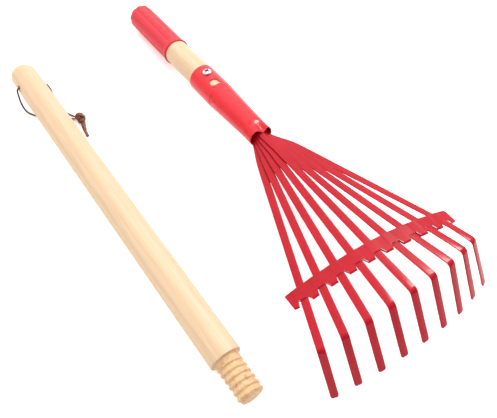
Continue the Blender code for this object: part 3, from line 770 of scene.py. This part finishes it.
def add_brace():
    """Two notched sheets, above and below the tines, joined by a fold at the front of each tab."""
    points, faces = [], []
    columns = 7
    for up in (1, -1):
        rings = []
        for v in brace_stations():
            end = BRACE_HALF_LENGTH - abs(v - BRACE_SIDE)
            round_end = max(0.0, 1.5 * MM - end) if v > 0 else 0.0
            rear = BRACE_REAR + v * tan(BRACE_SKEW) + round_end
            front = rear + brace_front(v) - notch_depth(v) - round_end
            ring = []
            for layer in (0, 1):
                order = range(columns) if layer == 0 else reversed(range(columns))
                for j in order:
                    share = j / (columns - 1)
                    fade = 1 - 0.75 * share
                    rise = BRACE_GAP - 0.22 * MM * (1 - over_tine(v) * 1.6 * fade) + layer * BRACE_SHEET
                    ring.append(brace_point(rear + (front - rear) * share, v, up * rise))
            rings.append(ring)
        more, sides = lofted(rings, start=len(points))
        points += more
        faces += sides
    tab = []
    for v in brace_stations() + [None]:
        if v is not None and notch_depth(v) < 0.3 * MM:
            tab.append(v)
            continue
        if len(tab) > 1:
            rings = [fold_section(w) for w in tab]
            more, sides = lofted(rings, start=len(points))
            points += more
            faces += sides
        tab = []
    made = piece("folded_brace", points, faces, ENAMEL, FAN, RAKE, ["spreader_brace"], 40,
                 bevel=0.12 * MM)
    # The front cut edges of the upper sheet take the painted highlight of the pale metal.
    made.data.materials.append(EDGE_GLINT)
    around = 2 * columns
    upper_sheet = len(brace_stations()) * around
    for face in made.data.polygons:
        front_edge = {v % around for v in face.vertices} == {columns - 1, columns}
        if front_edge and max(face.vertices) < upper_sheet:
            face.material_index = 1


def fold_section(v):
    """The rounded fold at the front of a tab."""
    rear = BRACE_REAR + v * tan(BRACE_SKEW)
    front = rear + brace_front(v) - 0.05 * MM
    outer = BRACE_GAP - 0.05 * MM + BRACE_SHEET
    inner = outer - BRACE_SHEET
    ring = []
    for j in range(9):
        a = pi / 2 - pi * j / 8
        ring.append(brace_point(front + 0.75 * outer * cos(a), v, outer * sin(a)))
    for j in range(8, -1, -1):
        a = pi / 2 - pi * j / 8
        ring.append(brace_point(front + 0.5 * inner * cos(a) - 0.1 * MM, v, inner * sin(a)))
    return ring


for tine_number in range(1, 2 * TINES_EACH_SIDE + 2):
    add_tine(tine_number)
add_brace()


# ---------------------------------------------------------------- ferrule, screw, grip, sleeve

# Distances count back from the ferrule's mouth. The sleeve's are in millimetres, as its tables are.
GRIP_RADIUS = 11.0 * MM
GRIP_START = 59.0 * MM
CONE_START = 34.0 * MM
CONE_END = 56.0 * MM
TENON_RADIUS = 9.4 * MM
TENON_START = 135.6 * MM
TENON_END = 168.0 * MM
SLEEVE_START = 134.0
SLEEVE_END = 204.8
SOCKET_END = 168.0
SOCKET_RADIUS = 9.7
FERRULE_RADIUS = 12.0 * MM
SHEET = 0.7 * MM
SEAM_HALF = 0.35
PILOT_RADIUS = 2.1 * MM
SWAGE_AT = 57.0 * MM
SWAGE_STEP = 0.3 * MM
SWAGE_LENGTH = 1.6 * MM
MOUTH_WIDTH = 10.2 * MM
MOUTH_DEPTH = 8.4 * MM
DENT_DEPTH = 4.9 * MM
DENT_LENGTH = 13.0 * MM
DENT_ANGLE = radians(15)
DENT_HALF = radians(43)
SCREW_AT = 78.8 * MM
SCREW_LENGTH = 13.0 * MM
SCREW_PITCH = 1.3 * MM
SCREW_TURN = 0.6
TEAR_AT = 65.2 * MM
TEAR_SIDE = -1.4 * MM
TEAR_RADIUS = 3.8 * MM
TEAR_POINT = 6.2 * MM
TEAR_TURN = radians(55)
THREAD_PITCH = 4.7 * MM


def ferrule_radius(distance):
    narrow = (MOUTH_WIDTH + MOUTH_DEPTH) / 2
    step = SWAGE_STEP * ease((distance - SWAGE_AT) / SWAGE_LENGTH)
    taper = (FERRULE_RADIUS - SWAGE_STEP - narrow) * (1 - min(distance / SWAGE_AT, 1.0))
    return FERRULE_RADIUS - step - taper


def ferrule_ring(distance, inset, count=144):
    """A round ring that turns oval towards the mouth, where its top is dented onto the tines."""
    radius = ferrule_radius(distance)
    mouth = max(0.0, 1 - distance / (2 * DENT_LENGTH)) ** 2
    press = max(0.0, 1 - distance / DENT_LENGTH)
    press = press * press * (3 - 2 * press)
    wide = radius + (MOUTH_WIDTH - radius) * mouth - inset
    deep = radius + (MOUTH_DEPTH - radius) * mouth - inset
    ring = []
    for a in turns(count):
        off = (a - DENT_ANGLE + pi) % (2 * pi) - pi
        reach = DENT_HALF if off < 0 else DENT_HALF * 0.75
        dent = DENT_DEPTH * press * cos(pi / 2 * off / reach) ** 2 if abs(off) < reach else 0.0
        ring.append(Vector((-distance, wide * sin(a), deep * cos(a) - dent)))
    return ring


def add_ferrule():
    stations = [0.0, 0.12, 0.5, 1.2, 2.2, 3.4, 4.8, 6.4, 8.2, 10.2, 12.6, 15.5, 20, 26, 34, 44, 54,
                56.6, 57.2, 57.8, 58.4, 59.2, 66, 74, 82, 88.6, 89.5, 89.82, 89.9]
    rim = {0.0: 0.22, 0.12: 0.08, 89.82: 0.08, 89.9: 0.22}
    outer = [ferrule_ring(s * MM, rim.get(s, 0.0) * MM) for s in stations]
    inner = [ferrule_ring(s * MM, SHEET - rim.get(s, 0.0) * MM) for s in stations]
    points, faces = walled(outer, inner)
    made = piece("steel_ferrule", points, faces, GLOSSY_LIT_ENAMEL, HANDLE, RAKE, ["ferrule"], 32)
    seam = [(-95, -SEAM_HALF), (5, -SEAM_HALF), (5, SEAM_HALF), (-95, SEAM_HALF)]
    carve(made, prism([(u * MM, v * MM) for u, v in seam], -20 * MM, -5 * MM, HANDLE))
    carve(made, prism(screw_hole(32), 5 * MM, 20 * MM, HANDLE))
    carve(made, prism(teardrop(), 5 * MM, 20 * MM, HANDLE))
    made.data.set_sharp_from_angle(angle=radians(32))


def screw_hole(count):
    return [(PILOT_RADIUS * cos(a) - SCREW_AT, PILOT_RADIUS * sin(a)) for a in turns(count)]


def prism(outline, bottom, top, where):
    rings = [[Vector((u, v, z)) for u, v in outline] for z in (bottom, top)]
    points, faces = lofted(rings)
    return mesh_object("cutter", points, faces, None, where)


def teardrop():
    """The outline of the hole: a circle drawn out to a blunt point."""
    half = acos(TEAR_RADIUS / TEAR_POINT)
    arc = [half + (2 * pi - 2 * half) * j / 30 for j in range(31)]
    points = [(TEAR_RADIUS * cos(a), TEAR_RADIUS * sin(a)) for a in arc]
    blunt = TEAR_POINT - 0.35 * MM
    points += [(blunt, -0.25 * MM), (TEAR_POINT - 0.15 * MM, 0.0), (blunt, 0.25 * MM)]
    c, s = cos(TEAR_TURN), sin(TEAR_TURN)
    return [(u * c - v * s - TEAR_AT, u * s + v * c + TEAR_SIDE) for u, v in points]


def add_screw():
    """A cross-head pan screw with a threaded shank."""
    seat = FERRULE_RADIUS + 0.05 * MM
    rings = []
    steps = 65
    for i in range(steps + 1):
        z = seat - SCREW_LENGTH + (SCREW_LENGTH - 0.6 * MM) * i / steps
        core = 1.45 * MM * min(1.0, 0.12 + i / 22)
        crest = 0.4 * MM * min(i / 22, 1.0)
        ring = []
        for a in turns(48):
            r = core + crest * max(0.0, cos(a - 2 * pi * z / SCREW_PITCH)) ** 3
            ring.append(Vector((r * cos(a), r * sin(a), z)))
        rings.append(ring)
    head = [(0.0, 1.5), (0.02, 3.55), (0.25, 3.68), (0.7, 3.70), (1.15, 3.55), (1.6, 3.15), (1.95, 2.55),
            (2.15, 1.9), (2.26, 1.2), (2.3, 0.5)]
    rings += [circle(r * MM, seat + h * MM, 48) for h, r in head]
    points, faces = lofted(rings)
    where = HANDLE @ Matrix.Translation((-SCREW_AT, 0, 0))
    made = piece("cross_head_screw", points, faces, STEEL, where, RAKE, ["ferrule_screw"], 40)
    top = seat + head[-1][0] * MM
    for turn in (SCREW_TURN, SCREW_TURN + pi / 2):
        rings = []
        for z, long, thin in ((top - 1.6 * MM, 1.4, 0.40), (top + 0.5 * MM, 2.7, 0.66)):
            box = [(-long, -thin), (long, -thin), (long, thin), (-long, thin)]
            c, s = cos(turn), sin(turn)
            rings.append([Vector((u * c - v * s, u * s + v * c, z / MM)) * MM for u, v in box])
        points, faces = lofted(rings)
        carve(made, mesh_object("cutter", points, faces, None, where))
    rings = [circle(r * MM, top + z * MM, 24) for z, r in ((-1.9, 0.1), (-1.4, 0.7), (0.2, 1.05))]
    points, faces = lofted(rings)
    carve(made, mesh_object("cutter", points, faces, None, where))
    made.data.set_sharp_from_angle(angle=radians(35))
    # The faces inside the cross recess take the painted shade.
    made.data.materials.append(RECESS_SHADE)
    for face in made.data.polygons:
        out = sqrt(face.center.x**2 + face.center.y**2)
        if seat + 0.1 * MM < face.center.z < top - 0.25 * MM and out < 2.7 * MM and face.normal.z < 0.97:
            face.material_index = 1 if out < 2.45 * MM else 0


def add_grip():
    """The dowel: coned inside the ferrule, cut down to a tenon inside the sleeve."""
    cone = ferrule_radius(CONE_START) - SHEET - 0.3 * MM
    profile = [(CONE_START, cone - 1.2 * MM), (CONE_START + 1.2 * MM, cone),
               (CONE_END, ferrule_radius(CONE_END) - 1.0 * MM), (GRIP_START, GRIP_RADIUS)]
    profile += [(GRIP_START + 5.0 * MM * i, GRIP_RADIUS + 0.03 * MM * sin(i * 1.3)) for i in range(1, 15)]
    profile += [(TENON_START - 0.2 * MM, GRIP_RADIUS), (TENON_START, GRIP_RADIUS - 0.2 * MM),
                (TENON_START, TENON_RADIUS), (TENON_END - 1.5 * MM, TENON_RADIUS),
                (TENON_END, TENON_RADIUS - 1.5 * MM)]
    rings = [ring_at(-s, r) for s, r in profile]
    points, faces = lofted(rings)
    made = piece("wooden_grip", points, faces, GRIP_WOOD, HANDLE, RAKE, ["short_handle"], 35)
    carve(made, prism(screw_hole(24), -2.0 * MM, 20 * MM, HANDLE))
    made.data.set_sharp_from_angle(angle=radians(35))


def add_sleeve():
    """The fluted sleeve: a smooth flared rim over the grip, lobes along its length, an inside thread."""
    count = 160

    def lobes(radius, depth):
        return lambda a: radius - depth * (1 - sqrt(cos(FLUTES / 2 * a) ** 2 + 0.012) ** 0.8)

    rows = [(SLEEVE_START, 11.75, 0.0), (134.15, 12.0, 0.0), (134.8, 12.1, 0.0), (136.0, 12.05, 0.0),
            (137.6, 11.85, 0.05), (139.0, 11.7, 0.35), (140.6, 11.62, 0.7), (142.5, 11.6, 0.85)]
    rows += [(142.5 + 5.0 * i, 11.6, 0.85) for i in range(1, 12)]
    rows += [(202.0, 11.58, 0.85), (203.6, 11.5, 0.82), (204.4, 11.35, 0.75), (204.7, 11.2, 0.65),
             (SLEEVE_END, 11.0, 0.5)]
    outer = [ring_at(-s * MM, lobes(r * MM, d * MM), count) for s, r, d in rows]
    socket = [(SLEEVE_START, 11.35), (134.4, 11.12), (135.9, 11.1), (136.0, SOCKET_RADIUS),
              (150.0, SOCKET_RADIUS), (165.0, SOCKET_RADIUS), (SOCKET_END, SOCKET_RADIUS)]
    inner = [ring_at(-s * MM, r * MM, count) for s, r in socket]
    steps = 90
    for i in range(1, steps):
        s = SOCKET_END + 0.5 + (SLEEVE_END - SOCKET_END - 0.5) * i / steps
        fade = min((SLEEVE_END - s) / 1.6, 1.0) * min((s - SOCKET_END) / 2.0, 1.0)

        def female(a, s=s, fade=fade):
            phase = -s * MM / THREAD_PITCH - a / (2 * pi)
            ridge = min(max(0.5 + 0.8 * cos(2 * pi * phase), 0.0), 1.0)
            return 9.75 * MM - 0.85 * MM * (1 - ridge) * fade

        inner.append(ring_at(-s * MM, female, count))
    inner.append(ring_at(-SLEEVE_END * MM, 10.0 * MM, count))
    points, faces = uneven_wall(outer, inner)
    piece("fluted_sleeve", points, faces, PLASTIC, HANDLE, RAKE, ["threaded_sleeve"], 40)


def uneven_wall(outer, inner):
    """A tube's wall whose outside and inside have their own numbers of rings."""
    count = len(outer[0])
    points, faces = lofted(outer, caps=False)
    more, sides = lofted(inner, caps=False, start=len(points))
    start = len(points)
    points += more
    faces += sides
    faces += band(0, start, count)
    faces += band(start - count, len(points) - count, count)
    return points, faces


add_ferrule()
add_screw()
add_grip()
add_sleeve()


# ---------------------------------------------------------------- pole

# In millimetres. Distances count back from the thread's shoulder, the thread's own forwards from it.
POLE_LENGTH = 322.2
POLE_RADIUS = 12.0
POLE_END_RADIUS = 11.3
DOME = 9.0
HANG_HOLE_AT = 298.5
HANG_HOLE_RADIUS = 2.5
HANG_HOLE_TILT = radians(20)
THREAD_LENGTH = 30.6
THREAD_CREST = 9.4
THREAD_NECK = 3.5


def add_pole():
    """The turned pole: a domed end with a hang hole, and a coarse thread with worn, torn crests."""
    count = 120
    rings = []
    for j in range(17):
        a = pi / 2 * j / 16
        x = DOME * (1 - cos(a)) - POLE_LENGTH
        rings.append(ring_at(x * MM, POLE_END_RADIUS * MM * max(sin(a), 0.03), count))
    body = POLE_LENGTH - DOME
    for i in range(1, 40):
        x = -body + (body - 0.6) * i / 40
        r = POLE_END_RADIUS + (POLE_RADIUS - POLE_END_RADIUS) * i / 40
        r += 0.035 * noise.noise(Vector((x * 0.02, 3.1, 0.7)))
        rings.append(ring_at(x * MM, r * MM, count))
    shoulder = [(-0.6, POLE_RADIUS), (-0.2, 11.9), (0.0, 11.6), (0.15, 11.0), (0.25, 10.2), (0.5, 9.85),
                (1.0, 9.6)]
    for x, r in shoulder:
        rings.append(ring_at(x * MM, r * MM, count))
    rows = 150
    for i in range(rows + 1):
        x = 1.5 + (THREAD_LENGTH - 2.6) * i / rows
        end = min((THREAD_LENGTH - 1.1 - x) / 2.2, 1.0)

        def male(a, x=x, end=end):
            phase = x * MM / THREAD_PITCH - a / (2 * pi)
            ridge = min(max(0.5 + 0.72 * cos(2 * pi * phase), 0.0), 1.0)
            fade = min(max((x - THREAD_NECK) / 2.5, 0.0), 1.0)
            tear = noise.noise(Vector((x * 0.35, 3.2 * cos(a), 3.2 * sin(a))))
            fine = noise.noise(Vector((x * 0.9, 9.0 * cos(a), 9.0 * sin(a))))
            r = THREAD_CREST - 0.95 * (1 - ridge) * fade - 0.35 * ridge * max(tear, 0.0) * fade + 0.12 * fine
            return (r - 0.5 * (1 - max(end, 0.0)) ** 2) * MM

        rings.append(ring_at(x * MM, male, count))
    for x, r in ((THREAD_LENGTH - 0.8, 8.3), (THREAD_LENGTH - 0.35, 7.9), (THREAD_LENGTH - 0.08, 7.3),
                 (THREAD_LENGTH, 6.6), (THREAD_LENGTH, 3.0)):
        rings.append(ring_at(x * MM, r * MM, count))
    points, faces = lofted(rings)
    made = piece("turned_pole", points, faces, POLE_WOOD, POLE, LOOSE, ["extension_pole"], 38)
    mouth = [(10.4, HANG_HOLE_RADIUS), (11.3, 2.75), (12.4, 3.4), (20.0, 8.6)]
    profile = [(-y, r) for y, r in reversed(mouth)] + mouth
    rings = [[Vector((r * cos(a), y, r * sin(a))) * MM for a in turns(40)] for y, r in profile]
    points, faces = lofted(rings)
    tilt = Euler((-HANG_HOLE_TILT, 0, 0)).to_matrix().to_4x4()
    where = POLE @ Matrix.Translation((-HANG_HOLE_AT * MM, 0, 0)) @ tilt
    carve(made, mesh_object("cutter", points, faces, None, where))
    made.data.set_sharp_from_angle(angle=radians(38))


add_pole()


# ---------------------------------------------------------------- floor and light

def add_floor():
    size, level = 30.0, -0.05 * MM
    corners = [(-size, -size, level), (size, -size, level), (size, size, level), (-size, size, level)]
    mesh_object("floor", corners, [(0, 1, 2, 3)], floor_material(), WORLD)


def add_light(name, direction, distance, width, height, power):
    data = bpy.data.lights.new(name, "AREA")
    data.shape = "RECTANGLE"
    data.size = width
    data.size_y = height
    data.energy = power
    made = bpy.data.objects.new(name, data)
    bpy.context.collection.objects.link(made)
    towards = Vector(direction).normalized()
    made.location = towards * distance
    made.rotation_euler = towards.to_track_quat("Z", "Y").to_euler()
    made.visible_camera = False
    return made


def add_world():
    """A white dome, brightest behind the rake's handle and dim in front of its tips."""
    world = bpy.data.worlds.new("studio")
    world.use_nodes = True
    tree = world.node_tree
    facing = node(tree, "ShaderNodeVectorMath", operation="DOT_PRODUCT")
    facing.inputs[1].default_value = Vector((-0.50, 0.18, 0.85)).normalized()
    tree.links.new(node(tree, "ShaderNodeTexCoord").outputs["Generated"], facing.inputs[0])
    glow = spread(tree, facing.outputs["Value"], 0.12, 2.6)
    background = tree.nodes["Background"]
    background.inputs["Color"].default_value = (1.0, 1.0, 1.0, 1.0)
    seen = node(tree, "ShaderNodeLightPath").outputs["Is Camera Ray"]
    tree.links.new(mix_value(tree, seen, glow, 1.0), background.inputs["Strength"])
    bpy.context.scene.world = world


add_floor()
add_world()
add_light("key", (-0.35, 0.20, 0.92), 1.5, 2.4, 2.4, 7.0)
add_light("bend_glint", (0.0, 0.65, 0.76), 0.92, 0.08, 0.36, 9.0).visible_diffuse = False
bpy.context.scene.view_settings.view_transform = "Standard"
